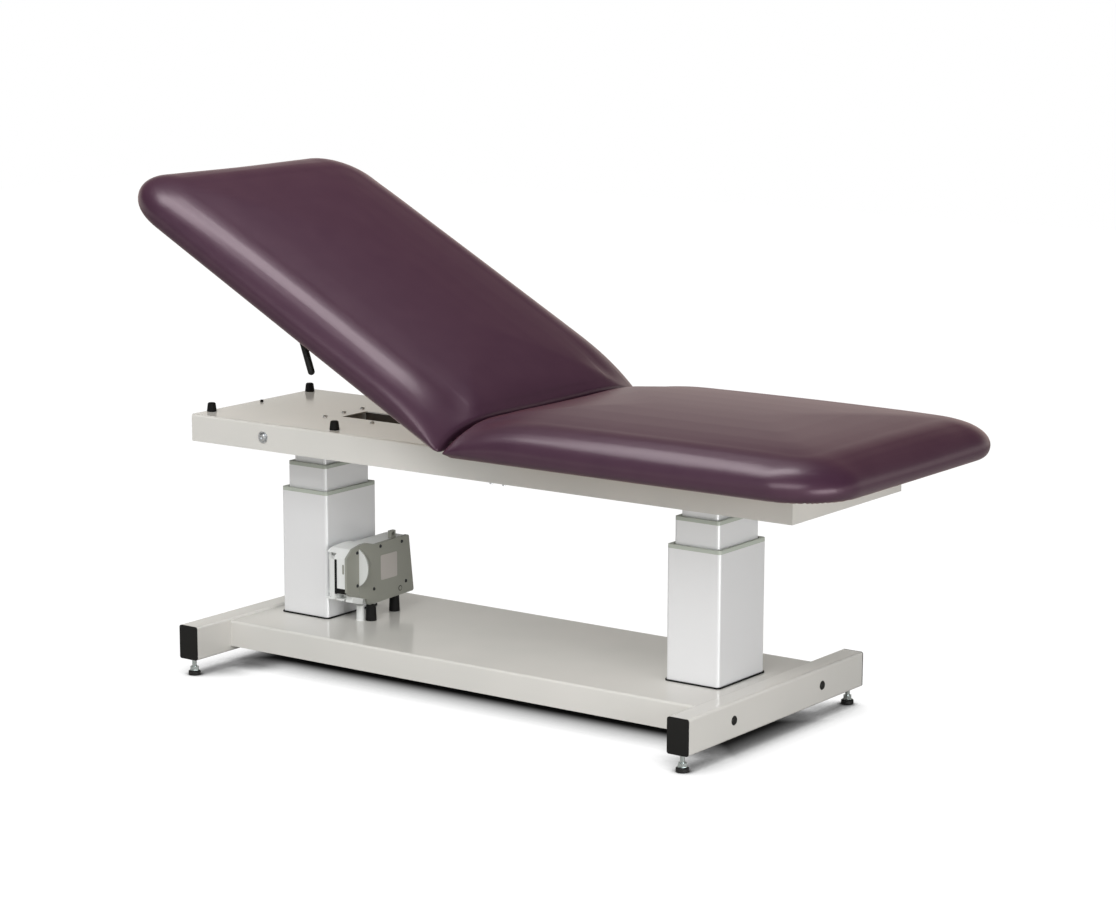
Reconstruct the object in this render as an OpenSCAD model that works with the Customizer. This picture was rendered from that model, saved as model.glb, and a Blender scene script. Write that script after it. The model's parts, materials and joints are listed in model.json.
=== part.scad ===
// Power ultrasound table: two lifting columns carry a tray with a fixed seat and a tilting backrest.
// Lengths are millimetres. +X points to the foot end, +Y to the far side and +Z up.
// The frame's origin is on the floor, under the middle of the table's whole length.

/* [Base] */
// Length of the base over its two cross tubes
base_len = 1351; // [1250:1:1450]
// Length of a cross tube without its end caps
cross_len = 678; // [600:1:760]
// Width of a cross tube along the table
cross_w = 50.8; // [45:0.1:60]
// Height of a cross tube
cross_h = 76.2; // [70:0.1:90]
// Wall of a cross tube
cross_wall = 3; // [2:0.5:5]
// Outside corner radius of a cross tube
cross_r = 5; // [4:0.5:8]
// Clear height under the cross tubes
ground_gap = 38; // [32:1:50]
// Thickness of an end cap's face
cap_t = 3; // [2:0.5:6]
// Distance of the round hole plugs from the middle of a cross tube
plug_y = 172.7; // [120:0.1:240]
// Radius of a round hole plug's head
plug_r = 10; // [9:0.5:14]
// Width of the base pan across the table
pan_w = 457; // [420:1:520]
// Height of the pan's folded sides
pan_depth = 58; // [50:1:66]
// Step from the tops of the cross tubes down to the pan
pan_step = 6; // [2:1:12]
// Thickness of the folded sheet steel
sheet = 2.5; // [1.5:0.5:3.5]
// Outside radius of the folds
fold_r = 5; // [4:0.5:8]
// Width of the lip folded in along the bottom of the pan and tray
lip_w = 15; // [10:1:24]

/* [Levelling feet] */
// Distance of a foot from the table's middle line
foot_y = 323; // [280:1:325]
// Radius of a foot's pad
pad_r = 13.5; // [12:0.5:22]
// Height of a foot's pad
pad_h = 11; // [8:1:14]
// Radius of a foot's threaded stud
stud_r = 5; // [4:0.5:6]

/* [Lifting columns] */
// Distance from the middle of the base to the head column
head_col = 523; // [480:1:540]
// Distance from the middle of the base to the foot column
foot_col = 518; // [480:1:540]
// Outer profile's width along the table
outer_x = 130; // [126:1:140]
// Outer profile's width across the table
outer_y = 177; // [172:1:190]
// Outer stage's height with its collar
outer_h = 290; // [280:1:300]
// Middle profile's width along the table
middle_x = 109; // [105:1:112]
// Middle profile's width across the table
middle_y = 155; // [150:1:158]
// Inner profile's width along the table
inner_x = 90; // [88:1:92]
// Inner profile's width across the table
inner_y = 135; // [132:1:137]
// Wall of the three profiles
profile_wall = 4.5; // [3.5:0.5:5]
// Outside corner radius of the profiles
profile_r = 7; // [6:0.5:9]
// Height of the plastic collar on the outer and middle stages
collar_h = 8; // [6:1:12]
// Height of the middle stage that shows above the outer one
middle_show = 58; // [54:1:70]
// Height of the inner stage that shows above the middle one
inner_show = 48; // [47:1:60]
// Radius of the lift's ram screw
ram_r = 9; // [8:0.5:10]

/* [Top tray] */
// Length of the tray
tray_len = 1570; // [1500:1:1640]
// Reach of the tray past the middle of the base at the head end
tray_head = 741; // [700:1:780]
// Width of the tray across the table
tray_w = 430; // [400:1:460]
// Height of the tray's folded sides
tray_h = 61; // [56:1:66]
// Length of the strut's opening in the tray
slot_len = 437; // [425:1:445]
// Width of the strut's opening in the tray
slot_w = 86; // [80:1:92]
// Height of the rubber bumpers, and so of the cushions' boards above the tray
bumper_h = 20; // [18:1:24]
// Radius at the foot of a bumper
bumper_r = 11; // [9:0.5:14]

/* [Cushions] */
// Length of the fixed seat section
seat_len = 914; // [840:1:960]
// Length of the tilting backrest section
back_len = 1016; // [960:1:1060]
// Width of both sections
top_w = 762; // [720:1:800]
// Thickness of a section at its rolled edge
edge_h = 68; // [64:1:76]
// Rise of the crown above the edge
crown_h = 8; // [4:1:14]
// Plan radius of the free corners
free_r = 138; // [120:1:160]
// Width of the rolled top edge
roll_w = 100; // [80:1:120]
// Thickness of the plywood boards
board_t = 19; // [16:1:22]
// Angle at which the backrest stands
back_angle = 28.4; // [0:0.1:60]
// Steepest angle of the backrest
steepest = 75; // [60:1:75]

/* [Hinge and strut] */
// Distance from the middle of the base to the backrest hinge
hinge_x = 85; // [70:1:95]
// Length of the piano hinge
hinge_len = 660; // [500:1:700]
// Number of knuckles on the piano hinge
knuckles = 23; // [15:2:31]
// Radius of the hinge knuckles
knuckle_r = 5; // [4:0.5:6]
// Radius of the hinge pin
hinge_pin_r = 2.5; // [2:0.5:3]
// Distance from the hinge to the strut's upper pivot, along the backrest
upper_u = 430; // [420:1:440]
// Drop from the hinge line to the strut's upper pivot
upper_w = 32; // [30:1:34]
// Distance from the hinge to the strut's lower pivot
lower_u = 100; // [95:1:105]
// Drop from the hinge to the strut's lower pivot
lower_w = 55; // [52:1:56]
// Radius of the strut's cylinder
strut_r = 11; // [9:0.5:12]
// Length of the strut's cylinder from its eye
strut_body = 205; // [195:1:215]
// Radius of the strut's rod
rod_r = 5; // [4:0.5:6]
// Length of the strut's rod from its pivot to its piston
rod_len = 285; // [275:1:295]

/* [Release lever] */
// Distance of the lever from the table's middle line
lever_y = 325; // [300:1:340]
// Distance from the hinge to the release rod, along the backrest
release_u = 455; // [450:1:460]
// Drop from the hinge line to the release rod
release_w = 20; // [19:0.5:21]
// Length of the lever arm to its tip
lever_len = 90; // [70:1:110]
// Angle of the lever arm below the backrest
lever_angle = 42; // [30:1:60]
// Radius of the lever's grip
grip_r = 7.5; // [6.5:0.5:9]

/* [Control unit] */
// Height of the unit's underside above the floor
unit_z = 143; // [135:1:150]
// Height of the unit's main cover
unit_h = 138; // [130:1:150]
// Near edge of the main cover
unit_y = -54; // [-60:1:-50]
// Width of the main cover
unit_w = 162; // [150:1:175]
// Width of the wing beside the main cover
wing_w = 62; // [56:1:75]
// Distance of the wing's underside above that of the main cover
wing_z = 40; // [34:1:46]
// Distance from the column's face to the parting line of housing and cover
parting_x = 74; // [68:1:80]
// Depth of the main cover
cover_d = 8; // [6:1:18]
// Depth of the wing's cover
wing_d = 6; // [4:1:8]
// Radius of the round hump over the transformer
hump_r = 49; // [45:1:52]
// Wall of the moulded housing and cover
mould = 3; // [2:0.5:4]
// Radius of a cable boot where it meets the pan
boot_r = 12.5; // [10:0.5:14]

/* [Hidden] */
$fn = 48;

paint = "#cfccc6";
alloy = "#d3d5d6";
collar_grey = "#b9c0b4";
black = "#232220";
zinc = "#b4b8bb";
vinyl = "#5a4150";
ply = "#c9a877";
housing_grey = "#dfe0de";
cover_grey = "#a2a099";

// Clearances: a gap between still pieces, a running fit and a sliding fit.
gap = 0.3;
run = 0.05;
slip = 0.15;
cut = 1;

// Places along the table, from the middle of the base.
base_x = -hinge_x - (seat_len - back_len * cos(back_angle)) / 2;
tube_x = base_len / 2 - cross_w / 2;
cols = [-head_col, foot_col];

// Heights above the floor.
tube_mid = ground_gap + cross_h / 2;
pan_top = ground_gap + cross_h - pan_step;
outer_top = pan_top + outer_h;
middle_top = outer_top + middle_show;
tray_z = middle_top + inner_show;
tray_top = tray_z + tray_h;
board_z = tray_top + bumper_h;
axis_rise = 10;
hinge_z = board_z + axis_rise;

// The three stages of a column and its lift.
cavity_x = outer_x - 2 * profile_wall;
cavity_y = outer_y - 2 * profile_wall;
hollow_x = middle_x - 2 * profile_wall;
hollow_y = middle_y - 2 * profile_wall;
glide_h = 20;
collar_gap = 3;
middle_bottom = pan_top + 57;
inner_bottom = pan_top + 108;
flange_t = 8;
flange_bolt = [42, 62];
channel_z = tray_z + 12;
channel_t = 4;
channel_w = outer_x;
sleeve_wall = 4;
sleeve_bottom = pan_top + 55;
sleeve_len = 175;
tube_len = 182;
ram_bottom = pan_top + 100;
motor_bottom = channel_z - 131;
bolt_r = 4;
gear_h = 42;
gear_y = 96;
can_r = 31;
can_h = 78;

// The caps' collars end short of the foot bushes.
foot_stop = min(12, cross_len / 2 - foot_y - stud_r - 3.5);

// Inside the tray: the head channel's side bolts, and the strap under the hinge with its lip bolts.
lip_drop = tray_top - sheet - channel_z - 2 * channel_t;
bolt_x = -head_col - 8;
side_bolt_z = tray_z + 30;
washer_r = 13;
head_r = 10;
strap_w = 46;
strap_x = hinge_x + 22;
strap_h = tray_h - 2 * sheet;
lip_bolt_x = 16.5;
lip_bolt_r = 2.5;

// On the tray: the bumpers, from its head end and middle line, and the rails under the seat.
bumper_places = [[13, -162], [13, 180], [388, -183], [388, 183]];
rail_in = 60;
rail_end = 40;
rail_y = 150;
rail_w = 30;

// The strut's opening and its trough.
slot_x = -head_col + channel_w / 2 + 11;
trough_w = slot_w + 14;
trough_z = tray_z + 6;
trough_x0 = slot_x - 5;
trough_len = slot_len + 30;
flange_w = 32;
trough_screws = [slot_x + 105, slot_x + 267, slot_x + slot_len - 12];
screw_y = trough_w / 2 + 16;
lug_gap = 0.6;
lug_t = 4;
lug_x = hinge_x - lower_u;

// The strut between its two pivots, in the hinge's own place.
upper = [-upper_u * cos(back_angle) - upper_w * sin(back_angle),
         upper_u * sin(back_angle) - upper_w * cos(back_angle)];
lower = [-lower_u, -lower_w];
strut_len = norm(upper - lower);
strut_angle = atan2(upper[1] - lower[1], upper[0] - lower[0]);
piston_r = strut_r - 2;
piston_t = 8;
guide_t = 10;
ear_gap = 10.5;
ear_t = 3;
pin_out = 12;
release_r = 4;

// The hinge's leaves.
leaf_t = 2;
leaf_w = 43;

// The control unit, from the head column's face.
face_x = outer_x / 2 - head_col;
unit_top = unit_z + unit_h;
hump_z = unit_z + 91;
hump_out = 27;
hump_len = 46;
hump_rim = 1.2;
hump_y = unit_y - 19;
wing_top = unit_z + 119;
arm_y = 34;
under_wing = [[unit_y - wing_w + 12, unit_z + wing_z - 9], [unit_y + 6, unit_z + 15]];
sleeve_place = [face_x + 64.5, unit_y + 3];
boot_places = [[face_x + 84, unit_y + 17], [face_x + 68, unit_y + 121]];
cover_screws = [[unit_y - 25, unit_z + 126], [unit_y - 25, unit_z + 51], [unit_y + 55, unit_z + 128],
                [unit_y + 132, unit_z + 126], [unit_y + 31, unit_z + 34], [unit_y + 146, unit_z + 32]];

// Cushion sections: the board lies in a pocket under the foam.
half_w = top_w / 2;
board_in = 24;
board_end = 14;
board_free_r = free_r - board_in;
under_r = 20;
under_h = 18;
bevel = tan(steepest / 2);
hinge_lip = 9.5;

// Outline of a cushion section seen from above, from u0 to u1, with straight or drawn-in sides.
function corner(c, r, from) = [for (k = [0:6]) c + r * [cos(from + 15 * k), sin(from + 15 * k)]];
function side(a, b, n, draw) =
    [for (k = [1:n - 1]) let (t = k / n, d = b - a, inward = [-d[1], d[0]] / norm(d))
        a + d * t + inward * draw * 4 * t * (1 - t)];
function outline(u0, u1, w, r0, r1, draw) = let (
    a = corner([u1 - r1, w - r1], r1, 0), b = corner([u0 + r0, w - r0], r0, 90),
    c = corner([u0 + r0, r0 - w], r0, 180), d = corner([u1 - r1, r1 - w], r1, 270))
    concat(a, side(a[6], b[0], 7, draw), b, side(b[6], c[0], 5, 0),
           c, side(c[6], d[0], 7, draw), d, side(d[6], a[0], 5, draw));

// One level of a cushion: height, inset of the sides, inset of the hinge end and side draw.
function hinge_inset(z) = max(hinge_lip, 1.5 + bevel * (z - axis_rise));
function level(len, z, inset, hinge_in, draw) = let (
    w = half_w - inset, free = min(max(free_r - inset, 25), 0.8 * w),
    near = min(max(30 - inset / 2, 12), 0.8 * w))
    [for (p = outline(hinge_in, len - inset, w, near, free, draw)) [p[0], p[1], z]];
function levels(len) = concat(
    [level(len, board_t + gap, board_in - gap, board_end - gap, 0),
     level(len, 0, board_in - gap, board_end - gap, 0)],
    [for (t = [0:30:90]) let (z = under_h * (1 - cos(t)))
        level(len, z, under_r * (1 - sin(t)), hinge_inset(z), 3)],
    [for (t = [15:15:90]) let (z = under_h + (edge_h - under_h) * sin(t))
        level(len, z, roll_w * (1 - cos(t)), hinge_inset(z) + 14 * (1 - cos(t)), 3 * cos(t))],
    [for (k = [1:3]) let (s = k / 3.4, z = edge_h + crown_h * (1 - (1 - s) * (1 - s)))
        level(len, z, roll_w + s * (half_w - roll_w), hinge_inset(edge_h) + 14
              + s * (half_w - roll_w), 0)]);

module on_base() translate([base_x, 0, 0]) children();
module on_hinge() translate([base_x + hinge_x, 0, hinge_z]) children();
module on_backrest() on_hinge() rotate([0, back_angle, 0]) children();
module on_strut() on_hinge() translate([lower[0], 0, lower[1]]) rotate([0, -strut_angle, 0]) children();
module at_columns() for (x = cols) translate([x, 0, 0]) children();
module four(x, y) for (i = [-1, 1], j = [-1, 1]) translate([i * x, j * y, 0]) children();
module along_y(len) rotate([90, 0, 0]) linear_extrude(len, center = true) children();
module along_x(len) rotate([90, 0, 90]) linear_extrude(len) children();

module rounded_rect(x, y, r) {
    square([x - 2 * r, y], center = true);
    square([x, y - 2 * r], center = true);
    for (i = [-1, 1], j = [-1, 1]) translate([i * (x / 2 - r), j * (y / 2 - r)]) circle(r);
}

module frame_section(x, y, r, wall) {
    difference() {
        rounded_rect(x, y, r);
        rounded_rect(x - 2 * wall, y - 2 * wall, max(r - wall, 1));
    }
}

// Section of a folded sheet: a flat top with rounded folds, two sides and a lip under each.
module fold_outline(w, d, r) {
    translate([-w / 2, 0]) square([w, d - r]);
    translate([r - w / 2, 0]) square([w - 2 * r, d]);
    for (i = [-1, 1]) translate([i * (w / 2 - r), d - r]) circle(r);
}

module folded_section(w, d, lip) {
    difference() {
        fold_outline(w, d, fold_r);
        translate([0, sheet]) fold_outline(w - 2 * sheet, d - 2 * sheet, fold_r - sheet);
        translate([lip - w / 2, -cut]) square([w - 2 * lip, sheet + 2 * cut]);
    }
}

// Base

module base_pan() {
    color(paint) on_base() difference() {
        translate([cross_w - base_len / 2, 0, pan_top - pan_depth])
            along_x(base_len - 2 * cross_w) folded_section(pan_w, pan_depth, lip_w);
        at_columns() four(flange_bolt[0], flange_bolt[1])
            translate([0, 0, pan_top - sheet - cut]) cylinder(r = bolt_r + gap, h = sheet + 2 * cut);
        for (p = concat(boot_places, [sleeve_place])) translate([p[0], p[1], pan_top - sheet - cut])
            cylinder(r = boot_r - 6, h = sheet + 2 * cut);
    }
}

module cross_tube(end) {
    color(paint) on_base() translate([end * tube_x, 0, tube_mid]) difference() {
        along_y(cross_len) frame_section(cross_w, cross_h, cross_r, cross_wall);
        for (j = [-1, 1]) {
            translate([end * cross_w / 2, j * plug_y, 0]) rotate([0, 90, 0])
                cylinder(r = plug_r - 2, h = 4 * cross_wall, center = true);
            translate([0, j * foot_y, -cross_h / 2 - cut])
                cylinder(r = stud_r + 3, h = cross_wall + 2 * cut);
        }
    }
}

module tube_end_caps() {
    color(black) on_base() for (i = [-1, 1], j = [-1, 1])
        translate([i * tube_x, j * (cross_len + cap_t) / 2, tube_mid]) {
            along_y(cap_t) rounded_rect(cross_w, cross_h, cross_r);
            translate([0, -j * (cap_t + foot_stop) / 2, 0]) along_y(foot_stop) frame_section(
                cross_w - 2 * cross_wall - 2 * slip, cross_h - 2 * cross_wall - 2 * slip,
                cross_r - cross_wall, cap_t);
        }
}

module tube_plugs() {
    color(black) on_base() for (i = [-1, 1], j = [-1, 1])
        translate([i * base_len / 2, j * plug_y, tube_mid]) rotate([0, i * 90, 0]) {
            cylinder(r1 = plug_r, r2 = plug_r - 2, h = 2);
            translate([0, 0, -8]) cylinder(r = plug_r - 2 - slip, h = 8);
        }
}

module foot_bushes() {
    color(zinc) on_base() for (i = [-1, 1], j = [-1, 1])
        translate([i * tube_x, j * foot_y, ground_gap]) difference() {
            union() {
                translate([0, 0, -3]) cylinder(r = stud_r + 6, h = 3);
                cylinder(r = stud_r + 3 - slip, h = 20);
            }
            translate([0, 0, -3 - cut]) cylinder(r = stud_r + run, h = 23 + 2 * cut);
        }
}

// Columns: what stands on the base

module column_profile(x) {
    color(alloy) on_base() translate([x, 0, pan_top]) linear_extrude(outer_h - collar_h)
        frame_section(outer_x, outer_y, profile_r, profile_wall);
}

module column_collars() {
    color(collar_grey) on_base() at_columns() translate([0, 0, outer_top - collar_h])
        linear_extrude(collar_h) collar_section(outer_x, outer_y, middle_x, middle_y);
}

module collar_section(x, y, through_x, through_y) {
    difference() {
        rounded_rect(x, y, profile_r);
        rounded_rect(through_x + 2 * collar_gap, through_y + 2 * collar_gap, profile_r + collar_gap);
    }
}

module glide_section(x, y, through_x, through_y) {
    difference() {
        rounded_rect(x - 2 * slip, y - 2 * slip, profile_r - profile_wall);
        rounded_rect(through_x + 2 * gap, through_y + 2 * gap, profile_r);
    }
}

module column_glides() {
    color(black) on_base() at_columns() translate([0, 0, outer_top - collar_h - glide_h])
        linear_extrude(glide_h) glide_section(cavity_x, cavity_y, middle_x, middle_y);
}

module column_gaskets() {
    color(black) on_base() at_columns() translate([0, 0, pan_top]) linear_extrude(3)
        difference() {
            rounded_rect(outer_x + 7, outer_y + 7, profile_r + 3.5);
            rounded_rect(outer_x + 2 * slip, outer_y + 2 * slip, profile_r + slip);
        }
}

module lift_tubes() {
    color(zinc) on_base() at_columns() translate([0, 0, pan_top]) difference() {
        union() {
            linear_extrude(flange_t)
                rounded_rect(cavity_x - 2 * slip, cavity_y - 2 * slip, profile_r - profile_wall);
            cylinder(r = ram_r + sleeve_wall + 5, h = tube_len);
        }
        translate([0, 0, -cut]) cylinder(r = ram_r + sleeve_wall + 2 * run, h = tube_len + 2 * cut);
        four(flange_bolt[0], flange_bolt[1]) translate([0, 0, -cut])
            cylinder(r = bolt_r + slip, h = flange_t + 2 * cut);
    }
}

module column_bolts() {
    color(zinc) on_base() at_columns() four(flange_bolt[0], flange_bolt[1])
        translate([0, 0, pan_top - sheet]) {
            cylinder(r = bolt_r, h = sheet + flange_t);
            translate([0, 0, -5.5]) cylinder(r = 7.5, h = 5.5, $fn = 6);
        }
}

// Middle stage, one for each column

module middle_profile(x) {
    color(alloy) on_base() translate([x, 0, middle_bottom])
        linear_extrude(middle_top - collar_h - middle_bottom)
            frame_section(middle_x, middle_y, profile_r, profile_wall);
}

module middle_collar(x) {
    color(collar_grey) on_base() translate([x, 0, middle_top - collar_h]) linear_extrude(collar_h)
        collar_section(middle_x, middle_y, inner_x, inner_y);
}

module middle_glide(x) {
    color(black) on_base() translate([x, 0, middle_top - collar_h - glide_h])
        linear_extrude(glide_h) glide_section(hollow_x, hollow_y, inner_x, inner_y);
}

module lift_sleeve(x) {
    color(zinc) on_base() translate([x, 0, sleeve_bottom]) difference() {
        cylinder(r = ram_r + sleeve_wall, h = sleeve_len);
        translate([0, 0, -cut]) cylinder(r = ram_r + 2 * run, h = sleeve_len + 2 * cut);
    }
}

// Inner stage and tray

module inner_profile(x) {
    color(alloy) on_base() translate([x, 0, inner_bottom]) linear_extrude(channel_z - inner_bottom)
        frame_section(inner_x, inner_y, profile_r, profile_wall);
}

module lift_rams() {
    color(zinc) on_base() at_columns() translate([0, 0, ram_bottom])
        cylinder(r = ram_r, h = motor_bottom - ram_bottom);
}

// A gear case on the ram, the motor can on top of it and its foot under the channel
module lift_motors() {
    color(black) on_base() at_columns() translate([0, 0, motor_bottom]) {
        linear_extrude(gear_h) rounded_rect(inner_x - 2 * profile_wall - 4, gear_y, 8);
        translate([0, 0, gear_h]) cylinder(r = can_r, h = can_h);
        translate([0, 0, gear_h + can_h])
            cylinder(r = can_r - 11, h = channel_z - motor_bottom - gear_h - can_h);
    }
}

module top_channels() {
    len = tray_w - 2 * sheet - 2 * slip;
    color(paint) on_base() intersection() {
        union() {
            difference() {
                at_columns() column_channel(len);
                side_bolt_holes();
            }
            translate([0, 0, tray_z + sheet]) difference() {
                along_y(len) translate([strap_x, strap_h / 2])
                    frame_section(strap_w, strap_h, 3, sheet);
                lip_bolts(lip_bolt_r + slip, 4 * sheet);
            }
        }
        translate([-tray_head, 0, tray_z + sheet]) along_x(tray_len)
            fold_outline(len, tray_h - 2 * sheet, fold_r - sheet);
    }
}

// The two bolts through each lip of the tray hold the strap under the hinge.
module lip_bolts(r, h) {
    for (i = [-1, 1], j = [-1, 1])
        translate([strap_x + i * lip_bolt_x, j * (tray_w / 2 - lip_w / 2 - 1), -h / 2])
            cylinder(r = r, h = h);
}

module side_bolt_holes() {
    translate([bolt_x, 0, side_bolt_z]) rotate([90, 0, 0])
        cylinder(r = bolt_r + slip, h = tray_w + 2 * cut, center = true);
}

// A channel with closed ends, open above, with one lip towards the foot end.
module column_channel(len) {
    difference() {
        translate([-channel_w / 2, -len / 2, channel_z])
            cube([channel_w, len, tray_top - sheet - channel_z]);
        translate([channel_t - channel_w / 2, channel_t - len / 2, channel_z + channel_t])
            cube([channel_w - 2 * channel_t, len - 2 * channel_t, lip_drop]);
        translate([channel_t - channel_w / 2, channel_t - len / 2, channel_z + channel_t])
            cube([channel_w - 2 * channel_t - 30, len - 2 * channel_t, tray_h]);
        for (y = [-1, 0, 1]) translate([channel_w / 2 - 19, y * screw_y, tray_top - sheet - 20])
            cylinder(r = 3 + slip, h = 20 + cut);
    }
}

module top_tray() {
    inner = tray_w - 2 * sheet;
    color(paint) on_base() difference() {
        translate([-tray_head, 0, tray_z]) union() {
            along_x(tray_len) folded_section(tray_w, tray_h, lip_w);
            for (x = [0, tray_len - sheet]) translate([x, -inner / 2 - cut / 2, 0])
                cube([sheet, inner + cut, tray_h - fold_r]);
            for (x = [0, tray_len - sheet]) translate([x, -inner / 2 + fold_r, 0])
                cube([sheet, inner - 2 * fold_r, tray_h - sheet / 2]);
        }
        translate([slot_x, -slot_w / 2, tray_top - sheet - cut])
            cube([slot_len, slot_w, sheet + 2 * cut]);
        side_bolt_holes();
        translate([0, 0, tray_z]) lip_bolts(lip_bolt_r + slip, 4 * sheet);
        at_columns() for (y = [-1, 0, 1])
            translate([channel_w / 2 - 19, y * screw_y, tray_top - sheet - cut])
                cylinder(r = 3 + slip, h = sheet + 2 * cut);
        for (x = trough_screws, j = [-1, 1]) translate([x, j * screw_y, tray_top - sheet - cut])
            cylinder(r = 3 + slip, h = sheet + 2 * cut);
    }
}

// Round-headed bolts hold the head channel, and small hex bolts hold the strap to the tray's lips.
module channel_bolts() {
    color(zinc) on_base() {
        for (j = [-1, 1])
            translate([bolt_x, j * tray_w / 2, side_bolt_z]) rotate([-90 * j, 0, 0]) difference() {
                union() {
                    cylinder(r = washer_r, h = 1.5);
                    translate([0, 0, 1.5]) cylinder(r1 = head_r, r2 = head_r - 0.5, h = 3.5);
                    translate([0, 0, 5]) cylinder(r1 = head_r - 0.5, r2 = head_r - 3, h = 1.5);
                    translate([0, 0, -sheet - channel_t]) cylinder(r = bolt_r, h = sheet + channel_t);
                }
                translate([0, 0, 4]) cylinder(r = 3.4, h = 3, $fn = 6);
            }
        translate([0, 0, tray_z + sheet]) lip_bolts(lip_bolt_r, 2 * sheet);
        for (i = [-1, 1], j = [-1, 1])
            translate([strap_x + i * lip_bolt_x, j * (tray_w / 2 - lip_w / 2 - 1), tray_z - 4])
                cylinder(r = lip_bolt_r + 2, h = 4, $fn = 6);
    }
}

// Four bumpers carry the flat backrest, and a low stop stands between the two at the head end.
module tray_bumpers() {
    color(black) on_base() translate([-tray_head, 0, tray_top]) {
        for (p = bumper_places) translate([p[0], p[1], 0]) rotate_extrude()
            polygon([[0, 0], [bumper_r, 0], [bumper_r, 2], [bumper_r - 2, bumper_h - 2],
                     [bumper_r - 4, bumper_h - gap], [0, bumper_h - gap]]);
        translate([21, 0, 0]) cylinder(r1 = 4, r2 = 3.5, h = 5);
    }
}

module strut_trough() {
    top = tray_top - sheet;
    color(zinc) on_base() translate([trough_x0, 0, 0]) {
        difference() {
            union() {
                translate([0, -trough_w / 2, trough_z]) cube([trough_len, trough_w, top - trough_z]);
                translate([0, -trough_w / 2 - flange_w, top - sheet])
                    cube([trough_len, trough_w + 2 * flange_w, sheet]);
            }
            translate([-cut, sheet - trough_w / 2, trough_z + sheet])
                cube([trough_len + 2 * cut, trough_w - 2 * sheet, top - trough_z]);
            for (x = trough_screws, j = [-1, 1])
                translate([x - trough_x0, j * screw_y, top - sheet - cut])
                    cylinder(r = 3 + slip, h = sheet + 2 * cut);
        }
        for (j = [-1, 1]) difference() {
            translate([lug_x - 82 - trough_x0, j * (strut_r + lug_gap + lug_t / 2) - lug_t / 2,
                       trough_z + sheet]) cube([107, lug_t, 48]);
            translate([lug_x - trough_x0, 0, hinge_z - lower_w]) rotate([90, 0, 0])
                cylinder(r = rod_r + slip, h = trough_w, center = true);
        }
    }
}

module strut_pivot_bolts() {
    color(zinc) on_base() for (j = [-1, 1])
        translate([lug_x, j * (strut_r + lug_gap), hinge_z - lower_w]) rotate([-90 * j, 0, 0]) {
            cylinder(r = rod_r, h = lug_t);
            translate([0, 0, lug_t]) cylinder(r = 9, h = 6, $fn = 6);
        }
}

module tray_screw() {
    translate([0, 0, tray_top]) rotate_extrude()
        polygon([[0, 0], [5.5, 0], [5.3, 1.4], [4, 2.6], [2, 3.2], [0, 3.2]]);
    translate([0, 0, tray_top - 8]) cylinder(r = 3, h = 8);
}

module tray_screws() {
    color(black) on_base() {
        at_columns() for (y = [-1, 0, 1]) translate([channel_w / 2 - 19, y * screw_y, 0]) tray_screw();
        for (x = trough_screws, j = [-1, 1]) translate([x, j * screw_y, 0]) tray_screw();
    }
}

module seat_rails() {
    color(zinc) on_base() for (j = [-1, 1])
        translate([hinge_x + rail_in, j * rail_y, tray_top + bumper_h / 2])
            along_x(tray_len - tray_head - hinge_x - rail_in - rail_end)
                frame_section(rail_w, bumper_h, 3, 2);
}

// Cushion sections, drawn from the hinge outwards

module section_board(len) {
    translate([0, 0, -axis_rise]) linear_extrude(board_t)
        polygon(outline(board_end, len - board_in, half_w - board_in, 18, board_free_r, 0));
}

module section_cushion(len) {
    rings = levels(len);
    n = len(rings[0]);
    m = len(rings);
    low = [len / 2, 0, board_t + gap];
    high = [len / 2, 0, edge_h + crown_h];
    points = concat([for (ring = rings, p = ring) p], [low, high]);
    walls = [for (i = [0:m - 2], k = [0:n - 1]) let (a = i * n + k, b = i * n + (k + 1) % n)
        each [[a, a + n, b], [b, a + n, b + n]]];
    lids = [for (k = [0:n - 1]) let (q = (k + 1) % n)
        each [[m * n, k, q], [m * n + 1, (m - 1) * n + q, (m - 1) * n + k]]];
    translate([0, 0, -axis_rise]) polyhedron(points, concat(walls, lids));
}

module seat_board() color(ply) on_hinge() section_board(seat_len);
module seat_cushion() color(vinyl) on_hinge() section_cushion(seat_len);
module backrest_board() color(ply) on_backrest() rotate([0, 0, 180]) section_board(back_len);
module backrest_cushion() color(vinyl) on_backrest() rotate([0, 0, 180]) section_cushion(back_len);

// Piano hinge: each leaf lies under its board and turns up beside it into every other knuckle

module hinge_leaf(first) {
    pitch = hinge_len / knuckles;
    difference() {
        union() {
            translate([knuckle_r - leaf_t, -hinge_len / 2, -axis_rise - leaf_t])
                cube([leaf_w, hinge_len, leaf_t]);
            for (i = [first:2:knuckles - 1]) translate([0, (i + 0.5) * pitch - hinge_len / 2, 0]) {
                rotate([90, 0, 0]) cylinder(r = knuckle_r, h = pitch - gap, center = true);
                translate([knuckle_r - leaf_t, (gap - pitch) / 2, -axis_rise - leaf_t])
                    cube([leaf_t, pitch - gap, axis_rise + leaf_t]);
            }
        }
        rotate([90, 0, 0]) cylinder(r = hinge_pin_r + run, h = hinge_len + 2 * cut, center = true);
    }
}

module hinge_leaf_seat() color(zinc) on_hinge() hinge_leaf(0);
module hinge_leaf_backrest() color(zinc) on_backrest() rotate([0, 0, 180]) hinge_leaf(1);

module hinge_pin() {
    color(zinc) on_hinge() {
        rotate([90, 0, 0]) cylinder(r = hinge_pin_r, h = hinge_len + 2, center = true);
        for (j = [-1, 1]) translate([0, j * (hinge_len / 2 + 1.5), 0]) rotate([90, 0, 0])
            cylinder(r = hinge_pin_r + 1, h = 1.5, center = true);
    }
}

// Strut and its release

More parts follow.
